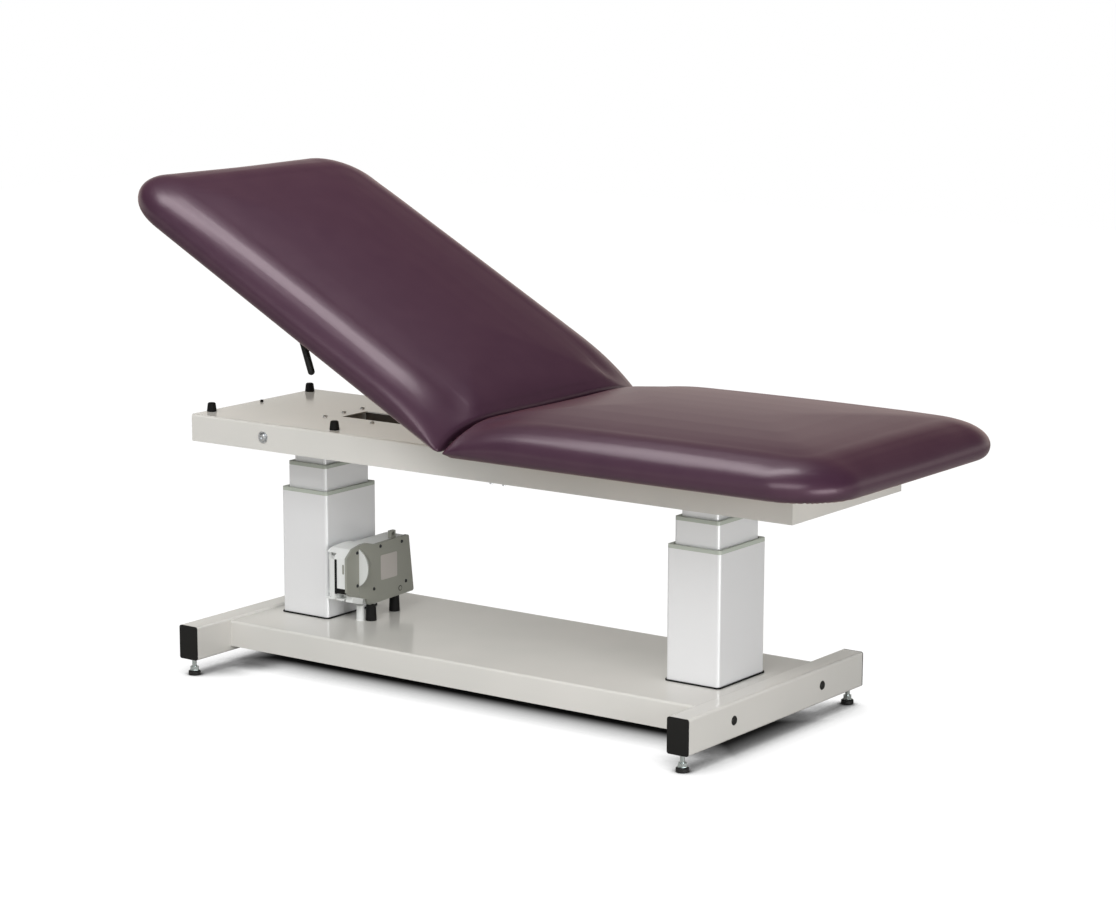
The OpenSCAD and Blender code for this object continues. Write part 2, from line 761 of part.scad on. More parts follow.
module strut_bracket() {
    plate_t = 3;
    color(zinc) on_backrest() translate([-upper_u, 0, 0]) {
        for (j = [-1, 1]) translate([0, j * (ear_gap + ear_t / 2), 0]) {
            translate([-12, -ear_t / 2, -upper_w]) cube([24, ear_t, upper_w - axis_rise]);
            translate([0, 0, -upper_w]) rotate([90, 0, 0])
                cylinder(r = 12, h = ear_t, center = true);
        }
        translate([-12, -38, -axis_rise - plate_t]) cube([52, 76, plate_t]);
        translate([0, 0, -upper_w]) rotate([90, 0, 0])
            cylinder(r = rod_r, h = 2 * (ear_gap + ear_t + 3), center = true);
    }
}

module strut_rod() {
    color(zinc) on_strut() {
        translate([strut_len - rod_len, 0, 0]) rotate([0, 90, 0]) cylinder(r = piston_r - run, h = piston_t);
        difference() {
            union() {
                translate([strut_len - rod_len, 0, 0]) rotate([0, 90, 0]) cylinder(r = rod_r, h = rod_len);
                translate([strut_len, 0, 0]) rotate([90, 0, 0])
                    cylinder(r = 10, h = 2 * ear_gap - 2 * gap, center = true);
                translate([strut_len - 26, 0, 0]) rotate([0, 90, 0]) cylinder(r = 8, h = 20);
                translate([strut_len, 0, 0]) rotate([0, 90, 0]) cylinder(r = 2.5, h = pin_out);
            }
            translate([strut_len, 0, 0]) rotate([90, 0, 0])
                cylinder(r = rod_r + run, h = 3 * ear_gap, center = true);
        }
    }
}

module strut_cylinder() {
    color(black) on_strut() difference() {
        union() {
            rotate([90, 0, 0]) cylinder(r = strut_r, h = 2 * strut_r, center = true);
            rotate([0, 90, 0]) cylinder(r = strut_r, h = strut_body);
        }
        translate([2 * strut_r, 0, 0]) rotate([0, 90, 0])
            cylinder(r = piston_r, h = strut_body - 2 * strut_r - guide_t);
        translate([strut_body - guide_t - cut, 0, 0]) rotate([0, 90, 0])
            cylinder(r = rod_r + run, h = guide_t + 2 * cut);
        rotate([90, 0, 0]) cylinder(r = rod_r + slip, h = 3 * strut_r, center = true);
    }
}

module lever_clips() {
    color(zinc) on_backrest() for (y = [-lever_y + 30, -60]) translate([-release_u, y, 0])
        difference() {
            union() {
                translate([-9, -6, -release_w]) cube([18, 12, release_w - axis_rise]);
                translate([-22, -6, -axis_rise - 3]) cube([44, 12, 3]);
                translate([0, 0, -release_w]) rotate([90, 0, 0]) cylinder(r = 9, h = 12, center = true);
            }
            translate([0, 0, -release_w]) rotate([90, 0, 0])
                cylinder(r = release_r + run, h = 20, center = true);
        }
}

module release_rod() {
    color(zinc) on_backrest() translate([-release_u, 0, -release_w]) {
        translate([0, 6, 0]) rotate([90, 0, 0]) cylinder(r = release_r, h = lever_y + 6);
        translate([0, -lever_y, 0]) sphere(r = release_r + 1);
        translate([0, -lever_y, 0]) rotate([0, 90 + lever_angle, 0])
            cylinder(r = release_r, h = lever_len - 12);
        translate([-4, -6, -17]) cube([4, 12, 17]);
    }
}

module lever_grip() {
    hold = lever_len - grip_r - 14;
    color(black) on_backrest() translate([-release_u, -lever_y, -release_w])
        rotate([0, 90 + lever_angle, 0]) translate([0, 0, 14]) difference() {
            union() {
                cylinder(r = grip_r, h = hold);
                translate([0, 0, hold]) sphere(r = grip_r);
            }
            translate([0, 0, -cut]) cylinder(r = release_r + slip, h = lever_len - 26 + cut);
        }
}

// Control unit on the head column: its parts are placed from the column's face

module unit_outline(shrink) {
    offset(r = 5 - shrink, $fn = 24) offset(delta = -5) polygon([
        [unit_y - wing_w, unit_z + wing_z], under_wing[0], under_wing[1], [unit_y + 12, unit_z],
        [unit_y + unit_w + 13, unit_z + 5], [unit_y + unit_w - 4, unit_top],
        [unit_y + 38, unit_top - 3], [unit_y + 8, unit_top + 5], [unit_y - 10, unit_top + 5],
        [unit_y - 41, unit_top - 1], [unit_y - wing_w, wing_top]]);
}

// A plate on four spacers, with an arm that turns out beside the wing and a shelf under it
module control_bracket() {
    color(housing_grey) on_base() translate([face_x, 0, 0]) {
        translate([6, unit_y - arm_y, unit_z + 15]) cube([7, unit_w + 20, 106]);
        translate([6, unit_y - arm_y, unit_z + 22]) cube([35, 4, 92]);
        translate([31, unit_y - wing_w + 4, unit_z + 22]) cube([10, wing_w - arm_y, 92]);
        translate([10, unit_y - wing_w + 12, unit_z + 18]) cube([48, wing_w - arm_y - 8, 4]);
        for (y = [unit_y - 20, unit_y + unit_w - 34], z = [unit_z + 30, unit_z + 106])
            translate([0, y, z]) rotate([0, 90, 0]) cylinder(r = 8, h = 6);
    }
}

// A hollow moulding, stepped back beside the bracket's arm, and the disc that closes the hump
module control_housing() {
    depth = parting_x - 13;
    color(housing_grey) on_base() translate([face_x + 13, 0, 0]) {
        difference() {
            difference() {
                intersection() {
                    along_x(depth) unit_outline(1.5);
                    housing_side(depth, 0);
                }
                arm_space(0);
            }
            difference() {
                intersection() {
                    translate([mould, 0, 0]) along_x(depth) unit_outline(1.5 + mould);
                    housing_side(depth + 5, mould);
                }
                arm_space(mould);
            }
        }
        translate([depth, 0, 0]) hump_disc(hump_r - hump_rim - slip, 0);
    }
}

module arm_space(grow) {
    translate([-cut, unit_y - wing_w - cut, unit_z])
        cube([30 + grow + cut, wing_w - arm_y + 5 + cut + grow, 126 + grow]);
}

// The flat near end of the round hump
module hump_disc(r, over) {
    intersection() {
        translate([wing_d + hump_out - hump_r, hump_y - over, hump_z]) rotate([-90, 0, 0])
            cylinder(r = r, h = mould + over);
        translate([wing_d + slip - over / 10, hump_y - over, unit_z]) cube([hump_r, mould + over, unit_h]);
    }
}

// The housing's top is rounded towards the column.
module housing_side(depth, wall) {
    r = 26 - wall;
    top = unit_top + 6 - wall;
    translate([0, 1.5 * unit_w, 0]) rotate([90, 0, 0]) linear_extrude(3 * unit_w) union() {
        translate([wall, 0]) square([depth, top - r]);
        translate([wall + r, 0]) square([depth - r, top]);
        translate([wall + r, top - r]) circle(r);
    }
}

module cover_solid(wall) {
    along_x(wing_d - wall) unit_outline(wall);
    intersection() {
        along_x(cover_d - wall) unit_outline(wall);
        translate([0, hump_y + wall, 0]) cube([cover_d, unit_w + wing_w, 2 * unit_top]);
    }
    translate([wing_d + hump_out - hump_r, hump_y + wall, hump_z]) rotate([-90, 0, 0])
        cylinder(r1 = hump_r - wall, r2 = hump_r - hump_out - 1 - wall, h = hump_len);
}

module control_cover() {
    color(cover_grey) on_base() translate([face_x + parting_x, 0, 0]) difference() {
        intersection() {
            cover_solid(0);
            translate([0, -unit_w, 0]) cube([hump_r, 3 * unit_w, 2 * unit_top]);
        }
        translate([-cut, 0, 0]) cover_solid(mould);
        hump_disc(hump_r - hump_rim, cut);
        for (s = cover_screws) translate([-cut, s[0], s[1]]) rotate([0, 90, 0])
            cylinder(r = 2 + slip, h = hump_r);
    }
}

module control_screws() {
    color(black) on_base() for (s = cover_screws)
        translate([face_x + parting_x + (s[0] < hump_y ? wing_d : cover_d), s[0], s[1]])
            rotate([0, 90, 0]) {
                cylinder(r1 = 4, r2 = 3, h = 1.6);
                translate([0, 0, -mould]) cylinder(r = 2, h = mould);
            }
}

module control_board() {
    color("#3d6b4a") on_base() translate([face_x + 30, unit_y + 24, unit_z + 16])
        cube([2, unit_w - 42, unit_h - 40]);
    color("#3d6b4a") on_base() for (y = [34, unit_w - 34], z = [26, unit_h - 42])
        translate([face_x + 13 + mould, unit_y + y, unit_z + z]) rotate([0, 90, 0])
            cylinder(r = 4, h = 14);
}

module transformer_core() {
    core_x = face_x + parting_x + wing_d + hump_out - hump_r;
    color(zinc) on_base() translate([core_x, hump_y + mould + gap, hump_z])
        rotate([-90, 0, 0]) difference() {
            cylinder(r1 = hump_r - mould - 6, r2 = hump_r - hump_out - 2, h = 34);
            translate([0, 0, -cut]) cylinder(r = 10, h = 40);
        }
}

module control_socket() {
    color(cover_grey) on_base() translate([face_x + 65, unit_y + 103, unit_top - 1.5]) difference() {
        cube([9, 17, 17]);
        translate([2, 8.5, 9.5]) rotate([0, 90, 0]) cylinder(r = 5, h = 9);
    }
}

module cable_boots() {
    color(black) on_base() for (p = boot_places) translate([p[0], p[1], pan_top])
        cylinder(r1 = boot_r, r2 = boot_r - 1.5, h = unit_z + (p[1] > 0 ? 3 : 0) - pan_top);
}

// Connector block flat against the wing's sloping underside, and the pale sleeve of its cable
module cable_clip() {
    block = [20, 36, 13];
    slope = atan2(under_wing[0][1] - under_wing[1][1], under_wing[1][0] - under_wing[0][0]);
    color("white") on_base() {
        translate([face_x + 61, under_wing[0][0], under_wing[0][1]]) rotate([-slope, 0, 0])
            translate([0, 9, -slip - block[2]]) cube(block);
        translate([sleeve_place[0], sleeve_place[1], pan_top])
            cylinder(r1 = 9.5, r2 = 8.5, h = unit_z - gap - pan_top);
    }
}

// Levelling feet

module level_foot(i, j) {
    color(zinc) on_base() translate([i * tube_x, j * foot_y, 0]) {
        rotate_extrude() polygon([[0, 0], [pad_r - 1, 0], [pad_r, 1.5], [pad_r, pad_h - 3],
                                  [pad_r - 3, pad_h], [0, pad_h]]);
        translate([0, 0, pad_h]) cylinder(r = 9.8, h = 8, $fn = 6);
        translate([0, 0, pad_h]) cylinder(r = stud_r, h = ground_gap + 22 - pad_h);
    }
}

base_pan();
cross_tube(-1);  // cross_tube_head
cross_tube(1);  // cross_tube_foot
tube_end_caps();
tube_plugs();
foot_bushes();
column_profile(-head_col);  // column_profile_head
column_profile(foot_col);  // column_profile_foot
column_collars();
column_glides();
column_gaskets();
lift_tubes();
column_bolts();
control_bracket();
control_housing();
control_cover();
control_screws();
control_board();
transformer_core();
control_socket();
cable_boots();
cable_clip();
middle_profile(-head_col);  // middle_profile_head
middle_collar(-head_col);  // middle_collar_head
middle_glide(-head_col);  // middle_glide_head
lift_sleeve(-head_col);  // lift_sleeve_head
middle_profile(foot_col);  // middle_profile_foot
middle_collar(foot_col);  // middle_collar_foot
middle_glide(foot_col);  // middle_glide_foot
lift_sleeve(foot_col);  // lift_sleeve_foot
inner_profile(-head_col);  // inner_profile_head
inner_profile(foot_col);  // inner_profile_foot
lift_rams();
lift_motors();
top_channels();
top_tray();
channel_bolts();
tray_bumpers();
strut_trough();
strut_pivot_bolts();
tray_screws();
seat_rails();
seat_board();
seat_cushion();
hinge_leaf_seat();
hinge_pin();
backrest_board();
backrest_cushion();
hinge_leaf_backrest();
strut_bracket();
lever_clips();
strut_rod();
strut_cylinder();
release_rod();
lever_grip();
level_foot(-1, -1);  // level_foot_1
level_foot(1, -1);  // level_foot_2
level_foot(1, 1);  // level_foot_3
level_foot(-1, 1);  // level_foot_4
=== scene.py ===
# %% [markdown]
# # An ultrasound table, dressed over its CAD frame
# The imported model brings every steel, aluminium and plastic piece in metres, on the body that moves it.
# This lesson gives those pieces the finishes of the real ones. It also builds the two upholstered
# sections anew, because foam under stretched vinyl has a form that a CAD solid only blocks out.
# The frame is loaded first.

# %% Load the frame
import json
import math

import bpy
import numpy as np
from mathutils import Euler, Matrix, Vector


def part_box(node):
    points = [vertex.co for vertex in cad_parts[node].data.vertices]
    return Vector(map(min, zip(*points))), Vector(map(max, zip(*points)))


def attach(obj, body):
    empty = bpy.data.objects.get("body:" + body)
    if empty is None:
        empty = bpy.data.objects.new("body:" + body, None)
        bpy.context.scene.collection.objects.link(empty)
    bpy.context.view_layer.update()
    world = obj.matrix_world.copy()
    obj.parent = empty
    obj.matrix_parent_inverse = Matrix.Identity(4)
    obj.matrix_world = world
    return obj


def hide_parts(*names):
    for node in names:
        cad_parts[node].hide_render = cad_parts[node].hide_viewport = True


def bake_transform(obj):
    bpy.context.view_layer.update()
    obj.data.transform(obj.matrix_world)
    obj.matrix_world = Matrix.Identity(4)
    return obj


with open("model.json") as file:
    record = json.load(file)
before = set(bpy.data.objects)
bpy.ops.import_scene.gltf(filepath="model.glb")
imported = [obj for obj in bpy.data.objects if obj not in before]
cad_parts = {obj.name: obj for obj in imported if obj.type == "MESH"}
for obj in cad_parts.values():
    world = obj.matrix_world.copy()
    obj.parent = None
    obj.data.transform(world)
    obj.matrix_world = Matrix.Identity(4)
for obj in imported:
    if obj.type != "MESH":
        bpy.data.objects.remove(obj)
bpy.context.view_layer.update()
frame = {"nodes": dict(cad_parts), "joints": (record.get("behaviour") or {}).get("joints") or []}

NODES = frame["nodes"]

# %% [markdown]
# The camera stands where the photographer stood: seven steps away with a long lens, a little above the
# tabletop. Azimuth 0 looks along +Y, and a small lens shift stands for the crop of the picture.

# %% Camera
AZIMUTH, ELEVATION, DISTANCE = 36.3186, 11.6455, 6.7223
AIM = Vector((-0.09514, 0, 0.386))


def towards(azimuth, elevation):
    """Unit vector from the table to a place at that azimuth and height angle, in degrees."""
    a, e = math.radians(azimuth), math.radians(elevation)
    return Vector((math.sin(a) * math.cos(e), -math.cos(a) * math.cos(e), math.sin(e)))


lens = bpy.data.cameras.new("camera")
lens.lens, lens.sensor_width, lens.clip_end = 100.05, 36, 100
lens.shift_x, lens.shift_y = 0.03844, 0.05923
camera = bpy.data.objects.new("camera", lens)
camera.location = AIM + DISTANCE * towards(AZIMUTH, ELEVATION)
camera.rotation_euler = (-towards(AZIMUTH, ELEVATION)).to_track_quat("-Z", "Y").to_euler()
bpy.context.scene.collection.objects.link(camera)
bpy.context.scene.camera = camera
print("camera at", [round(c, 3) for c in camera.location])

# %% [markdown]
# Colours are picked from a picture as sRGB hex values, but a shader wants linear light. One function
# turns them. A second one adds a node to a material with its settings and its links, and a third
# starts a finish from Blender's Principled shader with the numbers that are the same all over it.

# %% Helpers for colour and materials


def linear(hex_colour):
    """sRGB hex colour as the linear RGBA that a shader takes."""
    parts = [int(hex_colour[i:i + 2], 16) / 255 for i in (1, 3, 5)]
    return [c / 12.92 if c <= 0.04045 else ((c + 0.055) / 1.055) ** 2.4 for c in parts] + [1]


def add(tree, kind, inputs=None, **settings):
    """Adds a node of that kind. Settings are its own, and inputs are values or another node's output."""
    node = tree.nodes.new(kind)
    for name, value in settings.items():
        setattr(node, name, value)
    for name, value in (inputs or {}).items():
        if isinstance(value, bpy.types.NodeSocket):
            tree.links.new(value, node.inputs[name])
        else:
            node.inputs[name].default_value = value
    return node


def start_finish(name, colour, **numbers):
    """A new material with a Principled shader: returns the material, its tree and the shader."""
    material = bpy.data.materials.new(name)
    material.use_nodes = True
    shader = material.node_tree.nodes["Principled BSDF"]
    shader.inputs["Base Color"].default_value = linear(colour)
    for socket, value in numbers.items():
        shader.inputs[socket.replace("_", " ")].default_value = value
    return material, material.node_tree, shader


def per_mm(size):
    """Scale of a noise whose features are about that many millimetres wide."""
    return 1000 / size


# %% [markdown]
# The base and the tray are folded and welded steel under a light grey powder coat: polyester powder,
# sprayed on and baked. It flows into a smooth, glossy skin with a faint orange peel, so that reflections
# are a little soft and wavy. The real peel is 1.5 mm wide, too fine for this picture, so it is drawn
# at 4 mm. A second, broad noise lets the shade drift by a hair, as thick and thin coats do.

# %% Powder-coated steel
powder, tree, shader = start_finish("powder_coated_steel", "#d4d2cd", Roughness=0.15, IOR=1.5)
place = add(tree, "ShaderNodeTexCoord").outputs["Object"]
peel = add(tree, "ShaderNodeTexNoise", {"Vector": place, "Scale": per_mm(4), "Detail": 2.0})
drift = add(tree, "ShaderNodeTexNoise", {"Vector": place, "Scale": per_mm(180), "Detail": 1.0})
shade = add(tree, "ShaderNodeValToRGB", {"Fac": drift.outputs["Fac"]})
shade.color_ramp.elements[0].position, shade.color_ramp.elements[1].position = 0.3, 0.7
shade.color_ramp.elements[0].color = linear("#d1d0cb")
shade.color_ramp.elements[1].color = linear("#d7d5d0")
bump = add(tree, "ShaderNodeBump", {"Height": peel.outputs["Fac"], "Strength": 0.05, "Distance": 0.001})
tree.links.new(shade.outputs["Color"], shader.inputs["Base Color"])
tree.links.new(bump.outputs["Normal"], shader.inputs["Normal"])

# %% [markdown]
# The columns are aluminium extrusions, ground and anodised to a satin silver. The grinding runs along
# the profile, so the height of the marks changes fast across the column and hardly at all up it: the
# noise is stretched forty times along Z. Anodising leaves a bright but blurred metal.

# %% Anodised aluminium
anodised, tree, shader = start_finish("anodised_aluminium", "#eff0f2", Metallic=0.42, Roughness=0.35)
place = add(tree, "ShaderNodeTexCoord").outputs["Object"]
along = add(tree, "ShaderNodeMapping", {"Vector": place, "Scale": (1, 1, 1 / 40)})
marks = add(tree, "ShaderNodeTexNoise", {"Vector": along.outputs["Vector"], "Scale": per_mm(2.5),
                                         "Detail": 3.0})
rough = add(tree, "ShaderNodeMapRange", {"Value": marks.outputs["Fac"], "From Min": 0.3, "From Max": 0.7,
                                         "To Min": 0.31, "To Max": 0.39})
bump = add(tree, "ShaderNodeBump", {"Height": marks.outputs["Fac"], "Strength": 0.04, "Distance": 0.0005})
tree.links.new(rough.outputs["Result"], shader.inputs["Roughness"])
tree.links.new(bump.outputs["Normal"], shader.inputs["Normal"])

# %% [markdown]
# Collars, caps and the control unit are injection moulded. The mould is spark eroded, which leaves a
# fine, even grit of about a quarter millimetre on the plastic. From here that reads as a dull,
# slightly grainy skin, so the grit is drawn at 1.5 mm. The pieces differ in polymer and colour, and
# one function moulds them all.

# %% Moulded plastics


def moulded(name, colour, grit, strength, **numbers):
    """Injection moulded plastic with an eroded texture of that grit, in millimetres."""
    material, tree, shader = start_finish(name, colour, **numbers)
    place = add(tree, "ShaderNodeTexCoord").outputs["Object"]
    grain = add(tree, "ShaderNodeTexNoise", {"Vector": place, "Scale": per_mm(grit), "Detail": 2.0})
    bump = add(tree, "ShaderNodeBump", {"Height": grain.outputs["Fac"], "Strength": strength,
                                        "Distance": 0.0006})
    tree.links.new(bump.outputs["Normal"], shader.inputs["Normal"])
    return material


collar = moulded("collar_abs", "#bac0b6", 2.0, 0.1, Roughness=0.45, IOR=1.52)
black_plastic = moulded("black_polyethylene", "#121211", 1.5, 0.3, Roughness=0.5, Specular_IOR_Level=0.25)
rubber = moulded("moulded_rubber", "#0e0e0e", 2.5, 0.2, Roughness=0.62, Specular_IOR_Level=0.2)
housing = moulded("housing_abs", "#dcdedc", 1.5, 0.15, Roughness=0.38, IOR=1.52)
cover = moulded("cover_abs", "#8f9087", 1.5, 0.2, Roughness=0.42, IOR=1.52)

# %% [markdown]
# Screws, hinge and feet are zinc plated: a bright, bluish metal with cloudy crystals a few
# millimetres across. The strut and the button heads are blackened steel, oiled and half matt.

# %% Plated and blackened steel
zinc, tree, shader = start_finish("zinc_plated_steel", "#c6c9cc", Metallic=1.0, Roughness=0.3)
place = add(tree, "ShaderNodeTexCoord").outputs["Object"]
cloud = add(tree, "ShaderNodeTexVoronoi", {"Vector": place, "Scale": per_mm(3)})
rough = add(tree, "ShaderNodeMapRange", {"Value": cloud.outputs["Distance"], "To Min": 0.22, "To Max": 0.42})
tree.links.new(rough.outputs["Result"], shader.inputs["Roughness"])

blackened, tree, shader = start_finish("blackened_steel", "#26262a", Metallic=0.6, Roughness=0.35)
place = add(tree, "ShaderNodeTexCoord").outputs["Object"]
oil = add(tree, "ShaderNodeTexNoise", {"Vector": place, "Scale": per_mm(12), "Detail": 3.0})
rough = add(tree, "ShaderNodeMapRange", {"Value": oil.outputs["Fac"], "To Min": 0.25, "To Max": 0.5})
tree.links.new(rough.outputs["Result"], shader.inputs["Roughness"])

# %% [markdown]
# A levelling foot is one CAD node but two things: a zinc plated stud with its nut, screwed into a black
# rubber pad 11 mm high. The height above the floor tells them apart.

# %% Levelling feet
PAD_TOP = 0.0105
foot, tree, shader = start_finish("foot_pad_and_stud", "#c6c9cc")
height = add(tree, "ShaderNodeSeparateXYZ", {"Vector": add(tree, "ShaderNodeTexCoord").outputs["Object"]})
metal = add(tree, "ShaderNodeMath", {0: height.outputs["Z"], 1: PAD_TOP}, operation="GREATER_THAN").outputs[0]
shade = add(tree, "ShaderNodeMix", {"Factor": metal, "A": linear("#0e0e0e"), "B": linear("#c3cbcb")},
            data_type="RGBA")
rough = add(tree, "ShaderNodeMapRange", {"Value": metal, "To Min": 0.6, "To Max": 0.28})
tree.links.new(shade.outputs["Result"], shader.inputs["Base Color"])
tree.links.new(metal, shader.inputs["Metallic"])
tree.links.new(rough.outputs["Result"], shader.inputs["Roughness"])

# %% [markdown]
# The strut's trough is a bent part in a dark brown-grey, unlike the tray around it. That dark colour is
# painted shade, which keeps the opening in the tray brown-black even where light falls in. It is matt and
# a little streaky.

# %% Trough steel with painted shade
painted_trough_finish, tree, shader = start_finish("trough_painted_shade", "#4a433b", Roughness=0.55)
place = add(tree, "ShaderNodeTexCoord").outputs["Object"]
streaks = add(tree, "ShaderNodeTexNoise", {"Vector": place, "Scale": per_mm(25), "Detail": 3.0})
shade = add(tree, "ShaderNodeValToRGB", {"Fac": streaks.outputs["Fac"]})
shade.color_ramp.elements[0].color, shade.color_ramp.elements[1].color = linear("#3f3932"), linear("#554d44")
tree.links.new(shade.outputs["Color"], shader.inputs["Base Color"])

# %% [markdown]
# The boards under the cushions are birch plywood, 13 plies in 19 mm. The faces show a long, pale grain
# and the edges show the plies, light and dark by turns. A ply of 1.5 mm is too fine for this picture,
# so it is drawn 2.9 mm thick. One pattern does both: a wave across the thickness, which a face cuts only
# once, and a stretched noise along the board. At scale 1 the wave node repeats every pi / 10 metres, and
# one repeat is two plies. The backrest's board leans back, so its pattern is turned by the same angle.

# %% Birch plywood
BACK_ANGLE = math.radians(28.4)
PLY = 2.9


def plywood(name, tilt):
    material, tree, shader = start_finish(name, "#caa97c", Roughness=0.6, IOR=1.5)
    place = add(tree, "ShaderNodeTexCoord").outputs["Object"]
    flat = add(tree, "ShaderNodeMapping", {"Vector": place, "Rotation": (0, -tilt, 0)}).outputs["Vector"]
    plies = add(tree, "ShaderNodeTexWave", {"Vector": flat, "Scale": per_mm(2 * PLY) * math.pi / 10,
                                            "Distortion": 0.6, "Detail": 1.0}, bands_direction="Z")
    stretch = add(tree, "ShaderNodeMapping", {"Vector": flat, "Scale": (0.05, 1, 1)}).outputs["Vector"]
    grain = add(tree, "ShaderNodeTexNoise", {"Vector": stretch, "Scale": per_mm(5), "Detail": 4.0})
    both = add(tree, "ShaderNodeMath", {0: plies.outputs["Fac"], 1: grain.outputs["Fac"]},
               operation="MULTIPLY")
    shade = add(tree, "ShaderNodeValToRGB", {"Fac": both.outputs[0]})
    shade.color_ramp.elements[0].color = linear("#a98355")
    shade.color_ramp.elements[1].color = linear("#d9bc91")
    shade.color_ramp.elements[1].position = 0.5
    tree.links.new(shade.outputs["Color"], shader.inputs["Base Color"])
    return material


board_flat, board_tilted = plywood("birch_plywood", 0), plywood("birch_plywood_tilted", BACK_ANGLE)
fibreglass = moulded("fibreglass_board", "#2c6b3c", 3.0, 0.1, Roughness=0.35, IOR=1.55)

# %% [markdown]
# The packer names each CAD node's material after its slot in the record, so the finishes are handed
# out by that name. The slots of the object are changed, and the meshes stay as they are. A few nodes
# then get a finish of their own: the tilted board, the feet, the tray's screws and the strut's trough.

# %% Hand out the finishes
BY_SLOT = {"base_steel": powder, "column_alloy": anodised, "collar_plastic": collar,
           "black_plastic": black_plastic, "black_rubber": rubber, "zinc_steel": zinc,
           "black_steel": blackened, "unit_housing": housing, "unit_cover": cover,
           "circuit": fibreglass, "plywood": board_flat}
for name, node in NODES.items():
    for holder in node.material_slots:
        finish = BY_SLOT.get(holder.material.name.split(".")[0])
        print(name, holder.material.name, "->", finish and finish.name)
        if finish:
            holder.link, holder.material = "OBJECT", finish
NODES["backrest_board"].material_slots[0].material = board_tilted
for i in (1, 2, 3, 4):
    NODES["level_foot_%d" % i].material_slots[0].material = foot
NODES["tray_screws"].material_slots[0].material = zinc
# the trough's dark brown-grey finish is painted shade in the tray's opening
NODES["strut_trough"].material_slots[0].material = painted_trough_finish

# %% [markdown]
# The upholstery is a vinyl-coated fabric: a knitted backing under 1 mm of soft PVC, embossed with a
# leather grain and finished in a satin lacquer. The grain's cells are about 1 mm wide and are drawn at
# 3 mm. Three things make it look like vinyl and not like paint: a fairly blurred gloss, a lacquer coat
# that catches the lamps as a tighter streak along the rolled edges, and a little warm sheen, which
# lightens the seat's top where it is seen at a flat angle.

# %% Vinyl upholstery
vinyl, tree, shader = start_finish("vinyl_upholstery", "#3a2332", Roughness=0.38, IOR=1.47,
                                   Specular_Tint=linear("#ffe0ee"), Coat_Weight=0.16, Coat_Roughness=0.2,
                                   Sheen_Weight=0.13, Sheen_Roughness=0.35, Sheen_Tint=linear("#e07862"))
place = add(tree, "ShaderNodeTexCoord").outputs["Object"]
grain = add(tree, "ShaderNodeTexVoronoi", {"Vector": place, "Scale": per_mm(3.0)}, feature="SMOOTH_F1")
pores = add(tree, "ShaderNodeTexNoise", {"Vector": place, "Scale": per_mm(1.5), "Detail": 2.0})
stretch = add(tree, "ShaderNodeTexNoise", {"Vector": place, "Scale": per_mm(60), "Detail": 2.0})
shade = add(tree, "ShaderNodeValToRGB", {"Fac": stretch.outputs["Fac"]})
shade.color_ramp.elements[0].position, shade.color_ramp.elements[1].position = 0.3, 0.7
shade.color_ramp.elements[0].color = linear("#382131")
shade.color_ramp.elements[1].color = linear("#3c2534")
bump_grain = add(tree, "ShaderNodeBump", {"Height": grain.outputs["Distance"], "Strength": 0.05,
                                          "Distance": 0.001})
bump = add(tree, "ShaderNodeBump", {"Height": pores.outputs["Fac"], "Strength": 0.05, "Distance": 0.0006,
                                    "Normal": bump_grain.outputs["Normal"]})
tree.links.new(shade.outputs["Color"], shader.inputs["Base Color"])
tree.links.new(bump.outputs["Normal"], shader.inputs["Normal"])

# %% [markdown]
# ## The cushions
# Each section is a plywood board with foam on it, and one piece of vinyl pulled over the foam and
# stapled underneath. So the form follows from how it is made: a soft roll about 100 mm wide down each
# side, a tight nose where the vinyl turns under, a crown in the middle, and a pocket below for the board.
# A section is drawn in its own measures: u out from the hinge, y across, w up from the board's underside.
# Rings of points at rising heights make the closed skin. It stays a hair clear of the board and, in the
# seam, of the other section.

# %% Sizes of the sections
SEAT_LEN, BACK_LEN, HALF = 0.914, 1.016, 0.381
BOARD_T, BOARD_SIDE, BOARD_END = 0.019, 0.024, 0.014
NOSE_R, NOSE_H, ROLL, EDGE_H, CROWN = 0.020, 0.018, 0.105, 0.068, 0.012
BELLY, SLIP, SEAM_GAP = 0.006, 0.0003, 0.0004
FREE_R, HINGE_R, AXIS_RISE, HINGE_LIP, HINGE_END = 0.138, 0.014, 0.010, 0.0085, 0.337
HINGE = Vector(next(j["pos_m"] for j in frame["joints"] if j["name"] == "backrest_tilt"))
LEAN = math.tan(BACK_ANGLE / 2)
print("hinge line at", [round(c, 4) for c in HINGE])


def outline(near, far, half, near_r, far_r):
    """Plan outline of a section as (u, y) points, with round corners at its hinge end and its free end."""
    points = []
    corners = ((far - far_r, half - far_r, far_r, 0), (near + near_r, half - near_r, near_r, 90),
               (near + near_r, near_r - half, near_r, 180), (far - far_r, far_r - half, far_r, 270))
    for cu, cy, r, start in corners:
        for step in range(19):
            t = math.radians(start + 5 * step)
            points.append((cu + r * math.cos(t), cy + r * math.sin(t)))
    return points


def level(length, w, inset, hinge_in):
    """One ring of the skin, at height w, its sides and free end that far inside the largest outline."""
    half = HALF - inset
    ring = outline(hinge_in, length - inset, half, min(max(HINGE_R - inset / 2, 0.012), 0.8 * half),
                   min(max(FREE_R - inset, 0.025), 0.8 * half))
    return [(u, y, w) for u, y in ring]


def hinge_inset(w):
    """How far the hinge end stands off the hinge line at height w: round below, on the seam's plane above."""
    turn_under = 0
    if w < NOSE_H:
        turn_under = NOSE_R * (1 - math.sin(math.acos(min((NOSE_H - w) / (NOSE_H + BELLY), 1))))
    return max(turn_under, 0.001 + LEAN * (w - AXIS_RISE))


